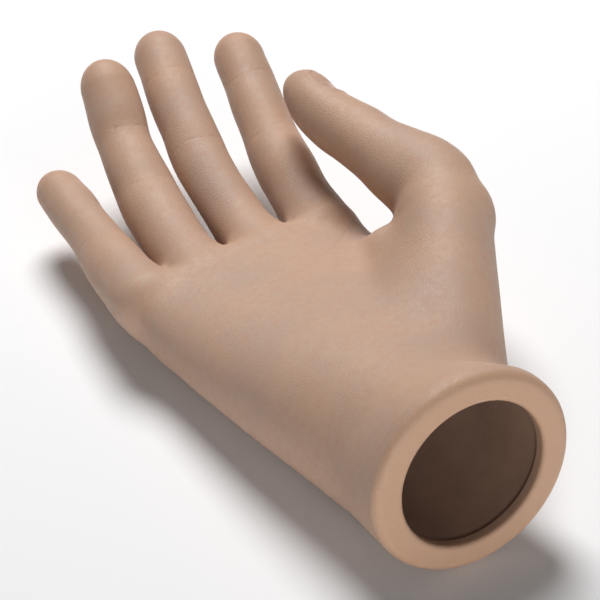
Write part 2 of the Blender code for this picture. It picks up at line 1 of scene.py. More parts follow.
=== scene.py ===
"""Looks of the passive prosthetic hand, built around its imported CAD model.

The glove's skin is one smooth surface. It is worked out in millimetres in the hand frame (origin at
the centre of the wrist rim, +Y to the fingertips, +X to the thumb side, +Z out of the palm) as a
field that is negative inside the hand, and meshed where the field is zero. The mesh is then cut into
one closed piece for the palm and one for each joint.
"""

import json
from math import cos, pi, radians, sin

import bmesh
import bpy
import numpy as np
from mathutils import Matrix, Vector


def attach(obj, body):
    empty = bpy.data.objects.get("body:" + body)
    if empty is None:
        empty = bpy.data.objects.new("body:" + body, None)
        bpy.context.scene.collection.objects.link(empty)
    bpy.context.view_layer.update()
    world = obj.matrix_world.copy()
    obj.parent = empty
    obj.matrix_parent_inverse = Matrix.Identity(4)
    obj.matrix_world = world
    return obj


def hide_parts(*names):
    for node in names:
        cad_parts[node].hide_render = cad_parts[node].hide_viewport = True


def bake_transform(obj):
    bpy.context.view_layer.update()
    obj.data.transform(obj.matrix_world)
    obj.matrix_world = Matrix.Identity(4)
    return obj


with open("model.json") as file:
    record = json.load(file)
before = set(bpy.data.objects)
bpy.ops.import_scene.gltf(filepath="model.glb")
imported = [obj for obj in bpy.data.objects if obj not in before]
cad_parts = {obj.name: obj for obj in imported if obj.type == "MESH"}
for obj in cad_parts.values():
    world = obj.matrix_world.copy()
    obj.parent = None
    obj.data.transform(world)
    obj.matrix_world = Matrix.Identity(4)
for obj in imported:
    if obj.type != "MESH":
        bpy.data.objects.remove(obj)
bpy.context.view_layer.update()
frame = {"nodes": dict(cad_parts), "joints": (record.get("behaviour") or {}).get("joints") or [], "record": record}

MM = 0.001
CHUNK = 50000                # points worked on at a time, to bound the memory used
REACH = 15.0                 # a form affects its neighbours no further than this
MOUNTS = {mount["name"]: mount for mount in frame["record"]["mounts"]}
JOINTS = {joint["name"]: joint for joint in frame["joints"]}

# ---------------------------------------------------------------- the hand frame

RIM_MOUNT_RADIUS = 22.8      # the rim's mount lies this far above the rim's centre
AXIS_Y = -np.array(MOUNTS["socket_rim"]["axis"])
AXIS_Y /= np.linalg.norm(AXIS_Y)
AXIS_X = np.array((1.0, 0.0, 0.0))
AXIS_Z = np.cross(AXIS_X, AXIS_Y)
HAND = np.stack((AXIS_X, AXIS_Y, AXIS_Z))
ORIGIN = np.array(MOUNTS["socket_rim"]["pos_m"]) - AXIS_Z * RIM_MOUNT_RADIUS * MM


def to_hand(points):
    """World metres to hand-frame millimetres."""
    return (np.asarray(points, float) - ORIGIN) @ HAND.T / MM


def to_world(points):
    return np.asarray(points, float) @ HAND * MM + ORIGIN


def mesh_points(name):
    mesh = frame["nodes"][name].data
    points = np.empty(len(mesh.vertices) * 3)
    mesh.vertices.foreach_get("co", points)
    return to_hand(points.reshape(-1, 3))


# ---------------------------------------------------------------- small mathematics

def unit(vectors):
    return vectors / np.linalg.norm(vectors, axis=-1, keepdims=True)


def curve_through(knots, values, at):
    """Smooth curve through (knot, value) pairs, level beyond its ends."""
    knots, values = np.asarray(knots, float), np.asarray(values, float)
    slopes = np.gradient(values, knots, axis=0)
    at = np.clip(at, knots[0], knots[-1])
    index = np.clip(np.searchsorted(knots, at, side="right") - 1, 0, len(knots) - 2)
    width = knots[index + 1] - knots[index]
    t = (at - knots[index]) / width
    if values.ndim > 1:
        t, width = t[:, None], width[:, None]
    h0, h1 = 2 * t**3 - 3 * t**2 + 1, t**3 - 2 * t**2 + t
    h2, h3 = -2 * t**3 + 3 * t**2, t**3 - t**2
    return (h0 * values[index] + h1 * width * slopes[index]
            + h2 * values[index + 1] + h3 * width * slopes[index + 1])


def soft_min(a, b, reach):
    """Union of two fields with a fillet about as wide as the reach."""
    blend = np.maximum(reach - np.abs(a - b), 0) / reach
    return np.minimum(a, b) - blend**3 * reach / 6


def soft_max(a, b, reach):
    return -soft_min(-a, -b, reach)


def round_cut(a, b, radius):
    """Where both fields are negative, with its edge rounded to a radius."""
    out = np.hypot(np.maximum(a + radius, 0), np.maximum(b + radius, 0)) - radius
    return np.where(np.maximum(a, b) > -radius, out, np.maximum(a, b))


def bump(distance, reach):
    """1 at no distance, falling smoothly to 0 at about twice the reach."""
    return np.exp(-(distance / reach) ** 2)


# ---------------------------------------------------------------- swept forms

class Sweep:
    """A form with a section of four quarter ellipses along a smooth line, with rounded ends.

    stations are distances along the line. The section's reach to the left, to the right, towards
    the pad and towards the back is given at the stations. "pad" is the direction the pad faces.
    """

    STEP = 1.0
    SKIP = 3

    def __init__(self, points, distances, stations, reaches, pad=(0, 0, 1), start_cap=None,
                 end_cap=None):
        self.first, self.last = distances[0], distances[-1]
        self.s = np.arange(self.first, self.last + self.STEP, self.STEP)
        self.line = curve_through(distances, points, self.s)
        self.way = unit(np.gradient(self.line, self.s, axis=0))
        self.side = unit(np.cross(self.way, np.asarray(pad, float)))
        self.up = np.cross(self.side, self.way)
        self.left, self.right, self.front, self.back = (
            curve_through(stations, reach, self.s) for reach in reaches)
        self.half = (self.left + self.right) / 2
        self.start_cap = self.half[0] if start_cap is None else start_cap
        self.end_cap = self.half[-1] if end_cap is None else end_cap

    def nearest(self, p):
        """Distance along the line of its point nearest to each of p, and the distance to it."""
        sample = self.line[::self.SKIP].astype(np.float32)
        found, gap = np.empty(len(p), int), np.empty(len(p))
        for start in range(0, len(p), CHUNK):
            chunk = p[start:start + CHUNK].astype(np.float32)
            away = (sample**2).sum(1) - 2 * chunk @ sample.T
            found[start:start + CHUNK] = away.argmin(1)
            gap[start:start + CHUNK] = away.min(1) + (chunk**2).sum(1)
        return self.s[found * self.SKIP], np.sqrt(np.maximum(gap, 0))

    def place(self, p, s=None):
        """Distance along the line, and offsets to the side and towards the pad."""
        s = self.nearest(p)[0] if s is None else s
        for _ in range(2):
            offset, way = p - self.at(self.line, s), self.at(self.way, s)
            s = np.clip(s + (offset * way).sum(1), self.first, self.last)
        offset = p - self.at(self.line, s)
        side, up, way = (self.at(table, s) for table in (self.side, self.up, self.way))
        return s, (offset * side).sum(1), (offset * up).sum(1), (offset * way).sum(1)

    def at(self, table, s):
        """A table's value at distances s, smoothly between its steps."""
        t = (s - self.first) / self.STEP
        index = np.clip(t.astype(int), 0, len(self.s) - 2)
        t = t - index
        if table.ndim > 1:
            t = t[:, None]
        return table[index] * (1 - t) + table[index + 1] * t

    def section(self, s, u, v):
        """The section's reach on u's side and on v's side."""
        across = np.where(u > 0, self.at(self.right, s), self.at(self.left, s))
        return across, np.where(v > 0, self.at(self.front, s), self.at(self.back, s))

    def field(self, p, s=None):
        s, u, v, beyond = self.place(p, s)
        a, b = self.section(s, u, v)
        start = np.maximum(self.first + self.start_cap - s - np.minimum(beyond, 0), 0) / self.start_cap
        end = np.maximum(s + np.maximum(beyond, 0) - self.last + self.end_cap, 0) / self.end_cap
        g = np.sqrt((u / a) ** 2 + (v / b) ** 2 + start**2 + end**2)
        g = np.maximum(g, 1e-3)
        slope = np.sqrt((u / a**2) ** 2 + (v / b**2) ** 2 + (start / self.start_cap) ** 2
                        + (end / self.end_cap) ** 2) / g
        return (g - 1) / np.maximum(slope, 1e-3)


def straight_line(points, stops, s):
    """The polyline's points at distances s; its ends run on in a straight line."""
    index = np.clip(np.searchsorted(stops, s, side="right") - 1, 0, len(stops) - 2)
    t = (s - stops[index]) / (stops[index + 1] - stops[index])
    return points[index] + (points[index + 1] - points[index]) * t[:, None]


def rounded_line(points, stops, s, spread=6.0, steps=7):
    """The polyline with its corners rounded over the spread."""
    shifts = np.linspace(-spread, spread, steps)
    return sum(straight_line(points, stops, s + shift) for shift in shifts) / steps


# ---------------------------------------------------------------- fingers and thumb

PALM_UP = (0.0, 0.0, 1.0)
THUMB_PAD = (-0.76, 0.16, -0.63)
FINGER_JOINTS = ("knuckle", "middle_joint", "end_joint")
THUMB_JOINTS = ("base_joint", "end_joint")
FINGER_BODIES = ("proximal", "middle", "distal")
THUMB_BODIES = ("proximal", "distal")

# "half" gives the half widths to the little-finger side and to the thumb side at distances from the
# first hinge. "cut" is where the palm's skin stops along the finger. The thumb's skin is cut by
# ThumbCut, and "thick" gives its half thicknesses to the pad and to the back. "nail_back" is how
# far the nail's root lies from the fingertip, and "end_cap" how long the tip's rounding is.
DIGITS = {
    "index": dict(cut=-6.5, half=(
        (-22, 8.6, 8.2), (-6, 9.5, 9.0), (6, 9.5, 8.8), (14, 9.7, 9.0), (22, 9.2, 8.7),
        (30, 8.3, 8.5), (42, 8.0, 8.6), (52, 7.5, 8.7), (61, 7.9, 8.1), (65, 7.9, 8.0))),
    "middle": dict(cut=-6.5, half=(
        (-22, 8.0, 8.0), (-6, 8.6, 8.6), (6, 8.7, 8.3), (14, 9.0, 7.7), (22, 9.2, 7.8),
        (30, 9.0, 8.3), (38, 8.4, 8.3), (46, 8.4, 8.2), (54, 8.1, 8.6), (62, 7.8, 8.6),
        (70, 8.1, 8.2), (73, 8.0, 8.0))),
    "ring": dict(cut=-6.5, half=(
        (-22, 8.2, 8.2), (-6, 9.2, 9.0), (8, 9.5, 9.2), (18, 9.6, 9.5), (28, 9.0, 9.4),
        (38, 8.6, 8.7), (45, 8.2, 8.4), (54, 8.5, 9.0), (62, 8.2, 8.9), (68, 8.1, 8.4))),
    "little": dict(cut=-5.5, half=(
        (-22, 8.6, 8.0), (-6, 9.3, 8.4), (6, 9.3, 8.2), (14, 8.4, 7.8), (22, 7.4, 7.5),
        (30, 7.3, 7.4), (38, 7.4, 7.9), (46, 7.1, 7.3), (49, 7.0, 7.2))),
    "thumb": dict(cut=None, nail_back=16.5, end_cap=1.45, half=(
        (-22, 6.0, 5.0), (-12, 8.6, 8.0), (-4, 10.8, 10.8), (4, 11.5, 11.6), (16, 10.4, 10.4),
        (28, 9.9, 9.9), (40, 9.6, 9.6), (50, 9.0, 9.0), (56, 8.6, 8.6)), thick=(
        (-22, 7.0, 5.0), (-12, 9.6, 8.0), (-4, 11.2, 11.8), (4, 11.6, 12.7), (14, 10.8, 11.2),
        (22, 9.4, 9.8), (32, 8.7, 9.5), (40, 9.1, 8.2), (48, 8.8, 6.9), (56, 7.4, 8.0))),
}
ROOT_DEPTH = 22.0            # how far a finger's form runs back into the palm from its knuckle hinge
ROOT_RISE = 0.3              # in there it rises this much as steeply as its first bone
ROOT_BACK = 0.3              # and its back is this much thicker, to cover the knuckle
ROOT_BACK_END = 4.0          # where that starts, from the first hinge
ROOT_BACK_LENGTH = 12.0      # it grows towards the palm over this distance
ROOT_CAP = 8.0               # length of the rounding at the form's end inside the palm
TIP_SPREAD = 0.3             # glove points this near to the farthest one count as the fingertip
DETAIL_REACH = 2.5           # creases and nails change the field only this near to the skin
THICKNESS = 0.93             # a finger's thickness over its width
WAIST = 0.05                 # how much thinner a finger is at its joints than between them
WAIST_REACH = 5.0            # half as long as a waist
NAIL_FLATTENING = 0.9        # the thickness of the end bone's back, over the rest's
FLATTENING_LENGTH = 6.0      # it flattens over this distance past the last hinge
CREASE_DEPTH = 0.13
CREASE_WIDTH = 0.5
NAIL_LENGTH = 11.6
NAIL_HALF_ANGLE = radians(50)
NAIL_PLATE = 0.55            # thickness
NAIL_RISE = 0.12             # its top stands this far above the skin beside it
NAIL_DROOP = sin(radians(6))
NAIL_BED = 0.42              # depth of the bed that the nail lies in
NAIL_FOLD = 0.3              # height of the fold of skin round the nail


class Digit:
    """A finger or the thumb: its form, its joints, and where its skin is cut."""

    def __init__(self, name, cut, half, thick=None, nail_back=13.6, end_cap=1.15):
        self.name, self.cut, self.nail_back = name, cut, nail_back
        thumb = name == "thumb"
        self.joints = THUMB_JOINTS if thumb else FINGER_JOINTS
        self.bodies = [f"{name}_{body}" for body in (THUMB_BODIES if thumb else FINGER_BODIES)]
        hinges = [to_hand(JOINTS[f"{name}_{joint}"]["pos_m"]) for joint in self.joints]
        points = np.array([*hinges, self.fingertip(hinges[-1])])
        self.stops = np.concatenate(([0.0], np.cumsum(np.linalg.norm(np.diff(points, axis=0), axis=1))))
        self.points, self.tip = points, self.stops[-1]
        self.hinges = self.stops[:-1]
        self.pad = THUMB_PAD if thumb else PALM_UP
        self.shape(np.array(half, float).T, thick, end_cap)

    def fingertip(self, hinge):
        """The middle of the points of the glove's end that are farthest from the last hinge."""
        points = mesh_points(f"{self.name}_glove_{self.joints[-1]}")
        distance = np.linalg.norm(points - hinge, axis=1)
        return points[distance > distance.max() - TIP_SPREAD].mean(0)

    def shape(self, half, thick, end_cap):
        """The sweep: half widths as given, and thicknesses as given or with waists at the joints."""
        s = np.arange(-ROOT_DEPTH, self.tip + Sweep.STEP, Sweep.STEP)
        way = unit(self.points[1] - self.points[0])
        if self.name != "thumb":
            way = unit(way * (1, 1, ROOT_RISE))
        root = self.points[0] - way * ROOT_DEPTH
        line = rounded_line(np.vstack((root, self.points)), np.append(-ROOT_DEPTH, self.stops), s)
        left, right = (curve_through(half[0], half[side], s) for side in (1, 2))
        if thick:
            thick = np.array(thick, float).T
            front, back = (curve_through(thick[0], thick[side], s) for side in (1, 2))
        else:
            even = (left + right) / 2 * THICKNESS
            at_joints = sum(bump(s - hinge, WAIST_REACH) for hinge in self.hinges[1:])
            front = even * (1 + WAIST / 2 - WAIST * at_joints)
            at_end = np.clip((s - self.hinges[-1]) / FLATTENING_LENGTH, 0, 1)
            at_root = np.clip((ROOT_BACK_END - s) / ROOT_BACK_LENGTH, 0, 1)
            back = even * (1 - (1 - NAIL_FLATTENING) * at_end + ROOT_BACK * at_root)
        self.sweep = Sweep(line, s, s, (left, right, front, back), self.pad, start_cap=ROOT_CAP,
                           end_cap=end_cap * half[1:, -1].mean())

    def nail_place(self, s, u, v):
        """How far through the nail's outline a point is: 0 in its middle, 1 on its edge."""
        along = (s - (self.tip - self.nail_back + NAIL_LENGTH / 2)) / (NAIL_LENGTH / 2)
        round_ = np.arctan2(u, -v) / NAIL_HALF_ANGLE
        return (np.abs(along) ** 3 + np.abs(round_) ** 3) ** (1 / 3), along

    def field(self, p, s=None):
        sweep = self.sweep
        d = sweep.field(p, s)
        near = np.flatnonzero(np.abs(d) < DETAIL_REACH)
        if len(near) == 0:
            return d
        s, u, v, _ = sweep.place(p[near], None if s is None else s[near])
        b = sweep.section(s, u, v)[1]
        on_pad = np.clip(v / b * 1.6, 0, 1)
        for hinge in self.hinges[1:]:
            broken = 0.6 + 0.4 * np.sin(u * 0.9 + hinge)
            wander = 0.5 * np.sin(u * 0.35 + hinge)
            d[near] += CREASE_DEPTH * on_pad * broken * bump(s - hinge - wander, CREASE_WIDTH)
        out, along = self.nail_place(s, u, v)
        at_end = np.clip((along - 0.3) / 0.5, 0, 1)
        bed = np.clip((1.06 - out) / 0.1, 0, 1)
        fold = bump(out - 1.17, 0.1) * (1 - at_end)
        d[near] += NAIL_BED * bed * bed * (3 - 2 * bed) - NAIL_FOLD * fold
        return d


# ---------------------------------------------------------------- the palm

# Distance from the rim, little-finger side, thumb side, back, palm, squareness and skew
PALM_SECTIONS = np.array((
    (4, -28.2, 28.1, -27.5, 28.1, 2.0, 0.00),
    (10, -28.2, 26.6, -26.4, 25.6, 2.0, 0.00),
    (18, -28.1, 24.0, -24.9, 22.4, 2.0, 0.00),
    (28, -29.3, 24.0, -23.5, 20.6, 2.1, 0.00),
    (40, -31.3, 27.5, -22.0, 19.6, 2.2, 0.00),
    (55, -33.9, 32.0, -20.3, 18.2, 2.3, 0.02),
    (75, -36.5, 36.5, -18.2, 15.8, 2.4, 0.05),
    (95, -38.7, 37.5, -15.9, 14.0, 2.5, 0.08),
    (110, -40.5, 36.0, -12.8, 13.6, 2.6, 0.10),
    (116, -40.8, 34.2, -9.0, 13.0, 2.6, 0.10),
    (120, -39.4, 31.5, -4.0, 10.0, 2.5, 0.10),
))
PALM_END = 121.0
PALM_END_BLEND = 8.0
RIM_ROUNDING = 2.2
MOUTH_R = 20.5
MOUTH_ROUNDING = 1.2
MOUTH_DEPTH = 2.9            # the skin turns in over the rim and meets the liner here
SOCKET_MESHED = 9.0          # the socket is hollow this far in the field; the liner lines the rest
# Centre lines and half widths of the muscle of the thumb and of the web beside the index finger
THENAR = (((7, 14, 0), 8.0), ((18, 34, 5.5), 11.2), ((25.4, 50, 9.5), 13.0),
          ((32.8, 64, 14.5), 13.3), ((40.2, 77, 20.5), 12.6), ((46, 92, 25.8), 10.5))
THUMB_WEB = (((4, 30, 2), 9.0), ((15, 48, 5.5), 12.0), ((24, 64, 8.5), 12.5),
             ((30.5, 78, 10.5), 11.2), ((31.2, 90, 9), 8.6), ((29.8, 98, 6.5), 6.2))


def chain(stations):
    """A fleshy form through centres with half widths."""
    points = np.array([point for point, _ in stations], float)
    stops = np.concatenate(([0.0], np.cumsum(np.linalg.norm(np.diff(points, axis=0), axis=1))))
    half = np.array([half for _, half in stations])
    return Sweep(points, stops, stops, (half,) * 4, pad=THUMB_PAD)


def palm_field(p):
    x, y, z = p.T
    knots = PALM_SECTIONS[:, 0]
    table_y = np.arange(0, 131.0)
    table = curve_through(knots, PALM_SECTIONS[:, 1:], table_y)

    def at(column, where):
        return np.interp(where, table_y, table[:, column])

    along = y - at(5, y) * (x - (at(0, y) + at(1, y)) / 2)
    left, right, back, front, square = (at(column, along) for column in range(5))
    a, b = (right - left) / 2, (front - back) / 2
    u, v = np.abs(x - (left + right) / 2) / a, np.abs(z - (back + front) / 2) / b
    g = np.maximum((u**square + v**square) ** (1 / square), 0.02)
    slope = np.hypot((u / g) ** (square - 1) / a, (v / g) ** (square - 1) / b)
    d = np.minimum((g - 1) / np.maximum(slope, 1e-4), 40.0)
    d = soft_max(d, along - PALM_END, PALM_END_BLEND)
    return round_cut(d, -y, RIM_ROUNDING)


def local_field(owner, p):
    """The field of a sweep, or of a digit, near it, and a plain distance beyond."""
    sweep = getattr(owner, "sweep", owner)
    reach = sweep.half.max() + REACH
    d = np.full(len(p), REACH)
    low, high = sweep.line.min(0) - reach, sweep.line.max(0) + reach
    inside = np.flatnonzero(((p > low) & (p < high)).all(1))
    s, gap = sweep.nearest(p[inside])
    close = gap < reach
    inside, s = inside[close], s[close]
    if len(inside):
        d[inside] = np.minimum(owner.field(p[inside], s), REACH)
    return d


CREASE_STEPS = 22
# Creases of the palm as lines over it, seen from above: (x, y) points, depth and width
PALM_CREASES = (
    (((-20, 92), (-12, 88.5), (0, 90.5), (7, 92.5), (14, 96), (21, 101.5), (25, 106)), 0.15, 0.5),
    (((26.5, 100.5), (20, 93), (8, 84), (-6, 74)), 0.06, 0.6),
)


def crease_field(p):
    total = np.zeros(len(p))
    for points, depth, width in PALM_CREASES:
        points = np.array(points, float)
        s = np.linspace(0, len(points) - 1, CREASE_STEPS)
        line = curve_through(np.arange(len(points)), points, s)
        reach = 3 * width
        low, high = line.min(0) - reach, line.max(0) + reach
        near = np.flatnonzero((p[:, 2] > 0) & ((p[:, :2] > low) & (p[:, :2] < high)).all(1))
        away = np.full(len(near), reach)
        place = p[near, :2]
        for start, end in zip(line, line[1:]):
            way = end - start
            t = np.clip(((place - start) @ way) / (way @ way), 0, 1)
            away = np.minimum(away, np.hypot(*(place - start - t[:, None] * way).T))
        total[near] += depth * bump(away, width) * np.clip(p[near, 2] / 4, 0, 1)
    return total


DIGIT = {name: Digit(name, **spec) for name, spec in DIGITS.items()}
FINGERS = [DIGIT[name] for name in ("index", "middle", "ring", "little")]
THUMB = DIGIT["thumb"]
THENAR_FORM, WEB_FORM = chain(THENAR), chain(THUMB_WEB)
THENAR_BLEND = 14.0          # how wide the fillets are where forms meet the palm
WEB_BLEND = 10.0
THUMB_BLEND = 8.0
FINGER_BLEND = 10.0
BETWEEN_FINGERS = 3.5
FULLNESS = 0.4               # the soft flesh stands this far outside the forms it is built from
RESTING_HEIGHT = 0.1         # the skin stays this far above the floor, and is flattened near it
RESTING_FLAT = 1.5


def hand_field(p):
    """Negative inside the whole hand, with a solid wrist."""
    flesh = palm_field(p)
    flesh = soft_min(flesh, local_field(THENAR_FORM, p), THENAR_BLEND)
    flesh = soft_min(flesh, local_field(WEB_FORM, p), WEB_BLEND)
    flesh = soft_min(flesh, local_field(THUMB, p), THUMB_BLEND) - FULLNESS
    fingers = local_field(FINGERS[0], p)
    for finger in FINGERS[1:]:
        fingers = soft_min(fingers, local_field(finger, p), BETWEEN_FINGERS)
    total = soft_min(flesh, fingers, FINGER_BLEND)
    height = p @ HAND[:, 2] + ORIGIN[2] / MM
    return soft_max(total, RESTING_HEIGHT - height, RESTING_FLAT)


def skin_field(p):
    """The hand with its creases and the open socket."""
    d = hand_field(p)
    near = np.flatnonzero(np.abs(d) < 4)
    d[near] += crease_field(p[near])
    radius = np.hypot(p[:, 0], p[:, 2])
    return np.where(p[:, 1] < SOCKET_MESHED, round_cut(d, MOUTH_R - radius, MOUTH_ROUNDING), d)


# ---------------------------------------------------------------- meshing the field

CELL = 0.8                   # grid step
COARSE = 3                   # the first look is this many times coarser
LOW = np.array((-52.0, -3.0, -32.0))
HIGH = np.array((62.0, 218.0, 48.0))
CORNERS = np.array([(i, j, k) for i in (0, 1) for j in (0, 1) for k in (0, 1)])
EDGES = [(a, b) for a in range(8) for b in range(a + 1, 8)
         if np.abs(CORNERS[a] - CORNERS[b]).sum() == 1]


def sample_grid():
    """The field at every grid point: exact near the surface, rough elsewhere."""
    step = CELL * COARSE
    counts = np.ceil((HIGH - LOW) / step).astype(int)
    axes = [LOW[i] + step * (np.arange(counts[i]) + 0.5 - 0.5 / COARSE) for i in range(3)]
    coarse_points = np.stack(np.meshgrid(*axes, indexing="ij"), -1).reshape(-1, 3)
    coarse = hand_field(coarse_points).reshape(counts)
    grid = coarse
    for axis in range(3):
        grid = np.repeat(grid, COARSE, axis=axis)
    near = np.argwhere(np.abs(grid) < step * 1.7)
    grid = grid.copy()
    grid[tuple(near.T)] = skin_field(LOW + CELL * near)
    return grid


def surface_nets(grid):
    """One point in each cell that the surface crosses, and quads between them, facing outwards."""
    inside = grid < 0
    shape = np.array(grid.shape) - 1
    count = np.zeros(shape, np.int8)
    for i, j, k in CORNERS:
        count += inside[i:i + shape[0], j:j + shape[1], k:k + shape[2]]
    cells = np.argwhere((count > 0) & (count < 8))
    values = np.stack([grid[tuple((cells + corner).T)] for corner in CORNERS], 1)
    total, hits = np.zeros((len(cells), 3)), np.zeros(len(cells))
    for a, b in EDGES:
        crosses = (values[:, a] < 0) != (values[:, b] < 0)
        t = values[crosses, a] / (values[crosses, a] - values[crosses, b])
        total[crosses] += CORNERS[a] + (CORNERS[b] - CORNERS[a]) * t[:, None]
        hits[crosses] += 1
    points = LOW + CELL * (cells + total / hits[:, None])
    index = np.full(shape, -1)
    index[tuple(cells.T)] = np.arange(len(cells))
    quads = []
    for axis in range(3):
        after, beside, above = np.eye(3, dtype=int)[[axis, (axis + 1) % 3, (axis + 2) % 3]]
        span = shape + 1 - after
        here = inside[:span[0], :span[1], :span[2]]
        there = inside[after[0]:, after[1]:, after[2]:]
        edges = np.argwhere(here != there)
        ring = [index[tuple((edges - shift).T)]
                for shift in (beside + above, above, 0, beside)]
        quad = np.stack(ring, 1)
        outward = inside[tuple(edges.T)]
        quad[~outward] = quad[~outward][:, ::-1]
        quads.append(quad)
    return points, np.concatenate(quads)


TETRA = np.array(((1, 1, 1), (1, -1, -1), (-1, 1, -1), (-1, -1, 1)), float)


def value_and_slope(p, step=0.1):
    """The skin field and its gradient, from four samples round each point."""
    samples = np.stack([skin_field(p + corner * step) for corner in TETRA], 1)
    return samples.mean(1), samples @ TETRA / (4 * step)


def settle(points, quads, rounds=3):
    """Even the points out along the surface, and bring them onto it. Returns points and normals."""
    edges = np.concatenate([quads[:, [i, (i + 1) % 4]] for i in range(4)])
    degree = np.bincount(edges.ravel(), minlength=len(points))[:, None]
    for _ in range(rounds):
        total = np.zeros_like(points)
        for axis in range(3):
            total[:, axis] = (np.bincount(edges[:, 0], points[edges[:, 1], axis], len(points))
                              + np.bincount(edges[:, 1], points[edges[:, 0], axis], len(points)))
        off, slope = value_and_slope(points)
        length = np.linalg.norm(slope, axis=1, keepdims=True)
        normal = slope / np.maximum(length, 1e-6)
        drift = total / degree - points
        drift -= (drift * normal).sum(1, keepdims=True) * normal
        step = np.clip(off[:, None] / np.clip(length, 0.3, None), -0.6, 0.6)
        points = points + 0.5 * drift - step * normal
    return points, unit(value_and_slope(points)[1])


# ---------------------------------------------------------------- cutting the skin into pieces

SKIN = 1.4                   # the skin's thickness
ABOVE_WEB = 0.7              # the thumb's skin starts this far above the web's saddle
THUMB_TIP_BEND = (-8.0, 8.0)


class ThumbCut:
    """The slanting plane where the thumb's skin starts, above the web beside the index finger."""

    def __init__(self):
        way = unit(THUMB.points[1] - THUMB.points[0])
        saddle = np.array(THUMB_WEB[-1][0], float) + (1, 0, 0)
        to_saddle = saddle - THUMB.points[0]
        away = unit(way * (to_saddle @ way) - to_saddle)
        self.way = unit(way + away)
        self.start = self.way @ saddle + ABOVE_WEB

    def beyond(self, p):
        return p @ self.way > self.start


def label_points(p):
    """Which piece each point belongs to: 0 is the palm, and each joint has the next number."""
    labels = np.zeros(len(p), int)
    depths = np.stack([local_field(finger, p) for finger in FINGERS], 1)
    closest = depths.argmin(1)
    first = 1
    for number, finger in enumerate(FINGERS):
        mine = np.flatnonzero((closest == number) & (depths[:, number] < 6))
        s = finger.sweep.place(p[mine])[0]
        mine, s = mine[s > finger.cut], s[s > finger.cut]
        middles = (finger.hinges[:-1] + finger.hinges[1:]) / 2
        labels[mine] = first + np.searchsorted(middles, s)
        first += len(finger.joints)
    thumb_depth = local_field(THUMB, p)
    mine = np.flatnonzero(THUMB_CUT.beyond(p) & (thumb_depth < np.minimum(depths.min(1), 6)))
    s = THUMB.sweep.place(p[mine])[0]
    labels[mine] = first + (s > THUMB.hinges[1] + THUMB_TIP_BEND[0] - 1.2)
    return labels


def shell(name, outer, inner, normals, quads):
    """A closed piece of skin: the outer faces, the inner faces and the cut edge between them."""
    used, compact = np.unique(quads, return_inverse=True)
    quads = compact.reshape(quads.shape)
    count = len(used)
    ahead = np.concatenate([quads[:, [i, (i + 1) % 4]] for i in range(4)])
    key, back = ahead[:, 0] * count + ahead[:, 1], ahead[:, 1] * count + ahead[:, 0]
    border = ahead[~np.isin(key, back)]
    edge_quads = np.stack((border[:, 1], border[:, 0], border[:, 0] + count, border[:, 1] + count), 1)
    faces = np.concatenate((quads, quads[:, ::-1] + count, edge_quads))
    points = to_world(np.concatenate((outer[used], inner[used])))
    mesh = bpy.data.meshes.new(name)
    mesh.vertices.add(len(points))
    mesh.vertices.foreach_set("co", points.astype(np.float32).ravel())
    mesh.loops.add(faces.size)
    mesh.loops.foreach_set("vertex_index", faces.ravel().astype(np.int32))
    mesh.polygons.add(len(faces))
    mesh.polygons.foreach_set("loop_start", np.arange(0, faces.size, 4, dtype=np.int32))
    mesh.update(calc_edges=True)
    mesh.shade_smooth()
    turned = normals[used] @ HAND
    corner = points[faces]
    flat = np.cross(corner[:, 2] - corner[:, 0], corner[:, 3] - corner[:, 1])
    flat = flat / np.maximum(np.linalg.norm(flat, axis=1, keepdims=True), 1e-12)
    loop_normals = np.concatenate((turned, -turned))[faces]
    loop_normals[-len(edge_quads):] = flat[-len(edge_quads):, None]
    mesh.normals_split_custom_set(loop_normals.reshape(-1, 3).tolist())
    obj = bpy.data.objects.new(name, mesh)
    bpy.context.scene.collection.objects.link(obj)
    return obj, used


def make_skin():
    points, quads = surface_nets(sample_grid())
    points, normals = settle(points, quads)
    centres = points[quads].mean(1)
    labels = label_points(centres)
    in_socket = (np.hypot(centres[:, 0], centres[:, 2]) < MOUTH_R + 0.6) & (centres[:, 1] > MOUTH_DEPTH)
    in_socket &= centres[:, 1] < SOCKET_MESHED + 4
    labels[in_socket] = -1
    inner = points - SKIN * normals
    depth = skin_field(inner)
    inner -= np.clip(depth + SKIN, -0.5, 0.5)[:, None] * normals
    made = [shell("palm_skin", points, inner, normals, quads[labels == 0])]
    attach(made[0][0], "palm")
    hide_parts("palm_glove")
    number = 1
    for digit in (*FINGERS, THUMB):
        for index, joint in enumerate(digit.joints):
            obj, used = shell(f"{digit.name}_skin_{joint}", points, inner, normals,
                              quads[labels == number])
            made.append((obj, used))
            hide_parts(f"{digit.name}_glove_{joint}")
            number += 1
    return made, points


THUMB_CUT = ThumbCut()


def bend_skin(made):
    """Bakes each joint's skin piece's placement into its mesh."""
    pieces = iter(made[1:])
    for digit in (*FINGERS, THUMB):
        for index in range(len(digit.joints)):
            obj, _ = next(pieces)
            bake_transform(obj)


# ---------------------------------------------------------------- materials

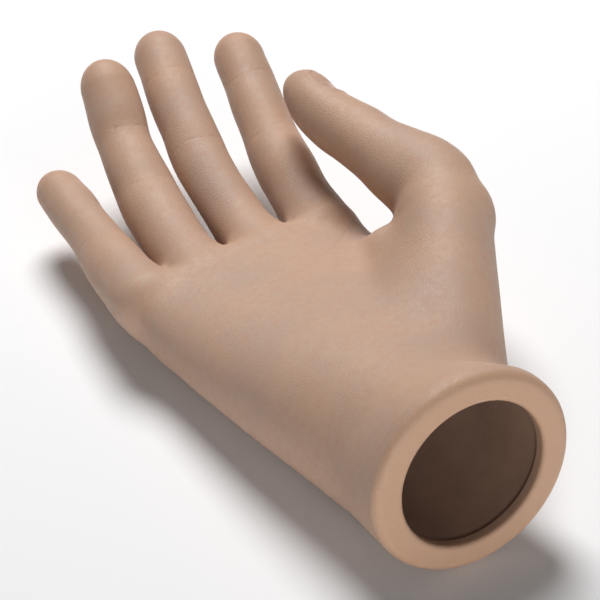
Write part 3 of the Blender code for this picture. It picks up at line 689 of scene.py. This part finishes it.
class Nodes:
    """Short names for a material's node graph."""

    def __init__(self, name, roughness=0.5, metallic=0.0, specular=0.5):
        self.material = bpy.data.materials.new(name)
        self.material.use_nodes = True
        self.tree = self.material.node_tree
        self.shader = self.tree.nodes["Principled BSDF"]
        self.shader.inputs["Roughness"].default_value = roughness
        self.shader.inputs["Metallic"].default_value = metallic
        self.shader.inputs["Specular IOR Level"].default_value = specular
        self.place = self.tree.nodes.new("ShaderNodeTexCoord").outputs["Object"]

    def link(self, value, socket):
        if isinstance(value, bpy.types.NodeSocket):
            self.tree.links.new(value, socket)
        elif value is not None:
            socket.default_value = value

    def noise(self, scale, detail=4.0, roughness=0.55, stretch=None):
        node = self.tree.nodes.new("ShaderNodeTexNoise")
        node.inputs["Scale"].default_value = scale
        node.inputs["Detail"].default_value = detail
        node.inputs["Roughness"].default_value = roughness
        self.link(self.stretched(stretch), node.inputs["Vector"])
        return node.outputs["Fac"]

    def cells(self, scale, stretch=None, feature="DISTANCE_TO_EDGE"):
        node = self.tree.nodes.new("ShaderNodeTexVoronoi")
        node.feature = feature
        node.inputs["Scale"].default_value = scale
        self.link(self.stretched(stretch), node.inputs["Vector"])
        return node.outputs["Distance"]

    def stretched(self, stretch):
        if stretch is None:
            return self.place
        node = self.tree.nodes.new("ShaderNodeMapping")
        node.inputs["Scale"].default_value = stretch
        self.tree.links.new(self.place, node.inputs["Vector"])
        return node.outputs["Vector"]

    def spread(self, value, low, high, to_low=0.0, to_high=1.0):
        node = self.tree.nodes.new("ShaderNodeMapRange")
        self.link(value, node.inputs["Value"])
        sockets = ("From Min", "From Max", "To Min", "To Max")
        for socket, number in zip(sockets, (low, high, to_low, to_high)):
            node.inputs[socket].default_value = number
        return node.outputs["Result"]

    def mix(self, share, a, b):
        node = self.tree.nodes.new("ShaderNodeMix")
        node.data_type = "RGBA"
        self.link(share, node.inputs["Factor"])
        for value, name in ((a, "A"), (b, "B")):
            socket = next(s for s in node.inputs if s.name == name and s.type == "RGBA")
            self.link(value if isinstance(value, bpy.types.NodeSocket) else (*value, 1.0), socket)
        return next(s for s in node.outputs if s.type == "RGBA")

    def attribute(self, name):
        node = self.tree.nodes.new("ShaderNodeAttribute")
        node.attribute_name = name
        return node.outputs["Fac"]

    def bump(self, height, depth, normal=None):
        """Surface relief: the height field times a depth in metres."""
        node = self.tree.nodes.new("ShaderNodeBump")
        node.inputs["Strength"].default_value = 1.0
        node.inputs["Distance"].default_value = depth
        self.link(height, node.inputs["Height"])
        self.link(normal, node.inputs["Normal"])
        return node.outputs["Normal"]

    def finish(self, colour, roughness=None, normal=None):
        self.link(colour, self.shader.inputs["Base Color"])
        self.link(roughness, self.shader.inputs["Roughness"])
        self.link(normal, self.shader.inputs["Normal"])
        return self.material


SKIN_BASE = (0.545, 0.352, 0.247)
SKIN_WARM = (0.520, 0.290, 0.190)
SKIN_COOL = (0.500, 0.335, 0.250)
SKIN_RIM = (0.530, 0.325, 0.215)


def skin_material():
    n = Nodes("silicone_skin_look", roughness=0.5, specular=0.35)
    large, small = n.noise(45, 3), n.noise(420, 4, 0.65)
    colour = n.mix(n.spread(large, 0.38, 0.62), SKIN_BASE, SKIN_COOL)
    colour = n.mix(n.spread(small, 0.45, 0.75, 0.0, 0.55), colour, SKIN_WARM)
    colour = n.mix(n.attribute("blush"), colour, SKIN_WARM)
    colour = n.mix(n.attribute("rim"), colour, SKIN_RIM)
    grain = n.cells(1500)
    fine = n.noise(2600, 3)
    normal = n.bump(n.spread(grain, 0.0, 0.25), 0.00004)
    normal = n.bump(fine, 0.00006, normal)
    return n.finish(colour, n.spread(small, 0.3, 0.7, 0.46, 0.58), normal)


def liner_painted_shade_material():
    n = Nodes("liner_painted_shade_look", roughness=0.55, specular=0.3)
    cloud = n.noise(90, 5)
    # The liner's two browns are the skin's own tone at about half its brightness: painted shade of the socket's
    # hollow, mixed at random by the noise.
    colour = n.mix(n.spread(cloud, 0.35, 0.65), (0.300, 0.185, 0.130), (0.245, 0.150, 0.105))
    return n.finish(colour, n.spread(cloud, 0.3, 0.7, 0.5, 0.62), n.bump(n.noise(1400, 4), 0.00005))


def nail_material():
    n = Nodes("nail_look", roughness=0.3, specular=0.5)
    streak = n.noise(500, 3, stretch=(1.0, 0.12, 1.0))
    colour = n.mix(n.spread(streak, 0.35, 0.65), (0.56, 0.335, 0.255), (0.60, 0.375, 0.29))
    colour = n.mix(n.attribute("free_edge"), colour, (0.68, 0.52, 0.42))
    return n.finish(colour, n.spread(streak, 0.3, 0.7, 0.26, 0.36), n.bump(streak, 0.00004))


def metal_material(name, colour, roughness):
    n = Nodes(name, roughness=roughness, metallic=1.0)
    marks = n.noise(900, 5, stretch=(1.0, 0.1, 1.0))
    shade = tuple(channel * 0.85 for channel in colour)
    return n.finish(n.mix(n.spread(marks, 0.35, 0.65), colour, shade),
                    n.spread(marks, 0.3, 0.7, roughness - 0.06, roughness + 0.1), n.bump(marks, 0.00002))


def plastic_material(name, colour, roughness, grain, depth):
    n = Nodes(name, roughness=roughness)
    cloud = n.noise(grain, 4)
    shade = tuple(channel * 0.88 for channel in colour)
    return n.finish(n.mix(n.spread(cloud, 0.35, 0.65), colour, shade),
                    n.spread(cloud, 0.3, 0.7, roughness - 0.05, roughness + 0.07), n.bump(cloud, depth))


# ---------------------------------------------------------------- nails

NAIL_ROWS, NAIL_COLUMNS = 26, 23
NAIL_EDGE = 0.22             # rounding of the plate's edge


def nail_plate(digit):
    """A curved plate in the bed on the fingertip's back, with a rounded free edge."""
    sweep = digit.sweep
    start = digit.tip - digit.nail_back
    held_at = digit.tip - sweep.end_cap
    rows = np.linspace(-1, 1, NAIL_ROWS)
    columns = np.linspace(-1, 1, NAIL_COLUMNS)
    row, column = np.meshgrid(rows, columns, indexing="ij")
    power = 3.0
    across = np.sign(row) * (1 - np.abs(row) ** power) ** (1 / power)
    width = (1 - np.abs(np.clip(row, -0.985, 0.985)) ** power) ** (1 / power)
    angle = column * width * NAIL_HALF_ANGLE
    s = (start + (row + 1) / 2 * NAIL_LENGTH).ravel()
    angle = angle.ravel()
    inside = np.minimum(s, held_at)
    along = np.stack([sweep.at(sweep.line[:, i], s) for i in range(3)], 1)
    side = unit(np.stack([sweep.at(sweep.side[:, i], s) for i in range(3)], 1))
    up = unit(np.stack([sweep.at(sweep.up[:, i], s) for i in range(3)], 1))
    half, back = sweep.at(sweep.half, inside), sweep.at(sweep.back, inside)
    sink = np.maximum(s - held_at, 0) * NAIL_DROOP
    edge = 1 - np.maximum(np.abs(row), np.abs(column)).ravel()
    lip = np.clip(edge / 0.12, 0, 1)
    top = NAIL_RISE - NAIL_EDGE * (1 - np.sqrt(1 - (1 - lip) ** 2))
    layers = []
    for rise in (top, top * 0 + NAIL_RISE - NAIL_PLATE):
        across_part = side * ((half + rise) * np.sin(angle))[:, None]
        up_part = -up * ((back + rise) * np.cos(angle) - sink)[:, None]
        layers.append(along + across_part + up_part)
    return layers, (s - start) / NAIL_LENGTH


def make_nail(digit):
    (over, under), along = nail_plate(digit)
    count = NAIL_ROWS * NAIL_COLUMNS
    grid = np.arange(count).reshape(NAIL_ROWS, NAIL_COLUMNS)
    quads = np.stack((grid[:-1, :-1], grid[:-1, 1:], grid[1:, 1:], grid[1:, :-1]), -1).reshape(-1, 4)
    loop = np.concatenate((grid[0], grid[1:, -1], grid[-1, -2::-1], grid[-2:0:-1, 0]))
    after = np.roll(loop, -1)
    walls = np.stack((loop, after, after + count, loop + count), 1)
    faces = np.concatenate((quads[:, ::-1], quads + count, walls))
    name = f"{digit.name}_nail_plate"
    mesh = bpy.data.meshes.new(name)
    mesh.from_pydata(to_world(np.concatenate((over, under))).tolist(), [], faces.tolist())
    edge = mesh.attributes.new("free_edge", "FLOAT", "POINT")
    share = np.clip((np.concatenate((along, along)) - 0.86) / 0.05, 0, 1)
    edge.data.foreach_set("value", share.astype(np.float32))
    bm = bmesh.new()
    bm.from_mesh(mesh)
    bmesh.ops.recalc_face_normals(bm, faces=bm.faces)
    bm.to_mesh(mesh)
    bm.free()
    mesh.shade_smooth()
    mesh.set_sharp_from_angle(angle=radians(50))
    obj = bpy.data.objects.new(name, mesh)
    bpy.context.scene.collection.objects.link(obj)
    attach(obj, digit.bodies[-1])
    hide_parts(f"{digit.name}_nail")
    return obj


# ---------------------------------------------------------------- wrist socket

LINER_STEPS = 128


def lathe(name, profile, steps):
    """A closed ring turned about the hand's Y axis from (radius, y) points."""
    profile = np.array(profile)
    angle = np.arange(steps) * 2 * pi / steps
    radius, y = profile[:, 0][None], np.tile(profile[:, 1], (steps, 1))
    points = np.stack((radius * np.cos(angle)[:, None], y, radius * np.sin(angle)[:, None]), -1)
    count = len(profile)
    grid = np.arange(steps * count).reshape(steps, count)
    beside, beyond = np.roll(grid, -1, axis=0), np.roll(grid, -1, axis=1)
    quads = np.stack((grid, beyond, np.roll(beyond, -1, axis=0), beside), -1).reshape(-1, 4)
    mesh = bpy.data.meshes.new(name)
    mesh.from_pydata(to_world(points.reshape(-1, 3)).tolist(), [], quads.tolist())
    bm = bmesh.new()
    bm.from_mesh(mesh)
    bmesh.ops.recalc_face_normals(bm, faces=bm.faces)
    bm.to_mesh(mesh)
    bm.free()
    mesh.shade_smooth()
    mesh.set_sharp_from_angle(angle=radians(50))
    obj = bpy.data.objects.new(name, mesh)
    bpy.context.scene.collection.objects.link(obj)
    return obj


def make_liner():
    """The socket's liner, on the CAD liner's own radii, with a rounded lip at the mouth."""
    points = mesh_points("wrist_liner")
    radius, y = np.hypot(points[:, 0], points[:, 2]), points[:, 1]
    mouth, end = y.min(), y.max()
    at_mouth, at_end = y < mouth + 1, y > end - 1
    inner_mouth, outer_mouth = radius[at_mouth].min(), radius[at_mouth].max()
    inner_end, outer_end = radius[at_end].min(), radius[at_end].max()
    wall = outer_mouth - inner_mouth
    lip = [(inner_mouth + wall / 2 - wall / 2 * cos(t), mouth + wall / 2 - wall / 2 * sin(t))
           for t in np.linspace(0, pi, 9)]
    shares = np.linspace(0.06, 1, 16)
    inside = [(inner_mouth + (inner_end - inner_mouth) * t, mouth + (end - mouth) * t)
              for t in shares[::-1]]
    outside = [(outer_mouth + (outer_end - outer_mouth) * t, mouth + (end - mouth) * t)
               for t in shares]
    liner = lathe("socket_liner", inside + lip + outside, LINER_STEPS)
    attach(liner, "palm")
    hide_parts("wrist_liner")
    return liner


# ---------------------------------------------------------------- colour over the skin

def paint(made, points):
    """How pink the skin is, and where the rim is, as attributes that the material reads."""
    blush = np.zeros(len(points))
    for digit in (*FINGERS, THUMB):
        to_tip = np.linalg.norm(points - digit.points[-1], axis=1)
        blush = np.maximum(blush, 0.5 * np.clip(1 - to_tip / 20, 0, 1))
        for hinge in digit.points[:-1]:
            blush = np.maximum(blush, 0.2 * bump(np.linalg.norm(points - hinge, axis=1), 11))
    rim = np.clip((2.4 - points[:, 1]) / 1.6, 0, 1)
    for obj, used in made:
        for name, values in (("blush", blush), ("rim", rim)):
            layer = obj.data.attributes.new(name, "FLOAT", "POINT")
            layer.data.foreach_set("value", np.tile(values[used], 2).astype(np.float32))


# ---------------------------------------------------------------- stage, camera and lights

CAMERA_AZIMUTH = radians(28.9)   # the camera looks towards +Y and this much towards +X
CAMERA_ELEVATION = radians(36.87)
CAMERA_DISTANCE = 0.623
CAMERA_TARGET = Vector((0.00728, 0.01122, 0.0009))
CAMERA_LENS = 126.65


def make_camera():
    data = bpy.data.cameras.new("camera")
    data.lens = CAMERA_LENS
    data.clip_start, data.clip_end = 0.01, 20
    camera = bpy.data.objects.new("camera", data)
    forward = Vector((sin(CAMERA_AZIMUTH) * cos(CAMERA_ELEVATION),
                      cos(CAMERA_AZIMUTH) * cos(CAMERA_ELEVATION), -sin(CAMERA_ELEVATION)))
    camera.location = CAMERA_TARGET - forward * CAMERA_DISTANCE
    camera.rotation_mode = "QUATERNION"
    camera.rotation_quaternion = forward.to_track_quat("-Z", "Y")
    bpy.context.scene.collection.objects.link(camera)
    bpy.context.scene.camera = camera


def make_floor():
    bm = bmesh.new()
    bmesh.ops.create_grid(bm, x_segments=2, y_segments=2, size=2.5)
    mesh = bpy.data.meshes.new("floor")
    bm.to_mesh(mesh)
    bm.free()
    floor = bpy.data.objects.new("floor", mesh)
    bpy.context.scene.collection.objects.link(floor)
    n = Nodes("floor_look", roughness=0.9, specular=0.1)
    mesh.materials.append(n.finish(n.mix(n.noise(3, 2), (0.90, 0.90, 0.905), (0.92, 0.92, 0.925))))


def area_light(name, place, target, size, power):
    data = bpy.data.lights.new(name, "AREA")
    data.shape = "DISK"
    data.size = size
    data.energy = power
    light = bpy.data.objects.new(name, data)
    light.location = place
    light.rotation_mode = "QUATERNION"
    light.rotation_quaternion = (Vector(target) - Vector(place)).to_track_quat("-Z", "Y")
    bpy.context.scene.collection.objects.link(light)


def make_lights():
    world = bpy.data.worlds.new("studio")
    world.use_nodes = True
    world.node_tree.nodes["Background"].inputs["Color"].default_value = (1.0, 1.0, 1.0, 1)
    world.node_tree.nodes["Background"].inputs["Strength"].default_value = 0.06
    bpy.context.scene.world = world
    area_light("key", (0.22, 0.72, 1.15), (0, 0, 0), 0.75, 21)
    area_light("front", (-0.2, -1.15, 0.22), (0, 0, 0), 0.5, 7)
    bpy.context.scene.view_settings.view_transform = "Standard"


# ---------------------------------------------------------------- assembly

CARRIED = {
    "bone": ("finger_acetal_look", plastic_material, ((0.80, 0.78, 0.72), 0.42, 600, 0.00003)),
    "pin": ("steel_look", metal_material, ((0.56, 0.56, 0.58), 0.3)),
    "screw": ("screw_look", metal_material, ((0.45, 0.45, 0.47), 0.3)),
    "bush": ("bush_look", metal_material, ((0.50, 0.49, 0.47), 0.32)),
    "plate": ("aluminium_look", metal_material, ((0.72, 0.73, 0.75), 0.36)),
    "core": ("rigid_foam_look", plastic_material, ((0.70, 0.62, 0.45), 0.7, 900, 0.0001)),
}


def dress_carried_nodes():
    looks = {}
    for key, (name, maker, values) in CARRIED.items():
        looks[key] = maker(name, *values)
    for name, node in frame["nodes"].items():
        key = next((key for key in CARRIED if key in name.split("_")), None)
        if key and not node.hide_render:
            node.data.materials.clear()
            node.data.materials.append(looks[key])


def build():
    make_camera()
    make_floor()
    make_lights()
    made, points = make_skin()
    paint(made, points)
    skin = skin_material()
    for obj, _ in made:
        obj.data.materials.append(skin)
    bend_skin(made)
    nails = nail_material()
    for digit in (*FINGERS, THUMB):
        make_nail(digit).data.materials.append(nails)
    make_liner().data.materials.append(liner_painted_shade_material())
    dress_carried_nodes()


build()
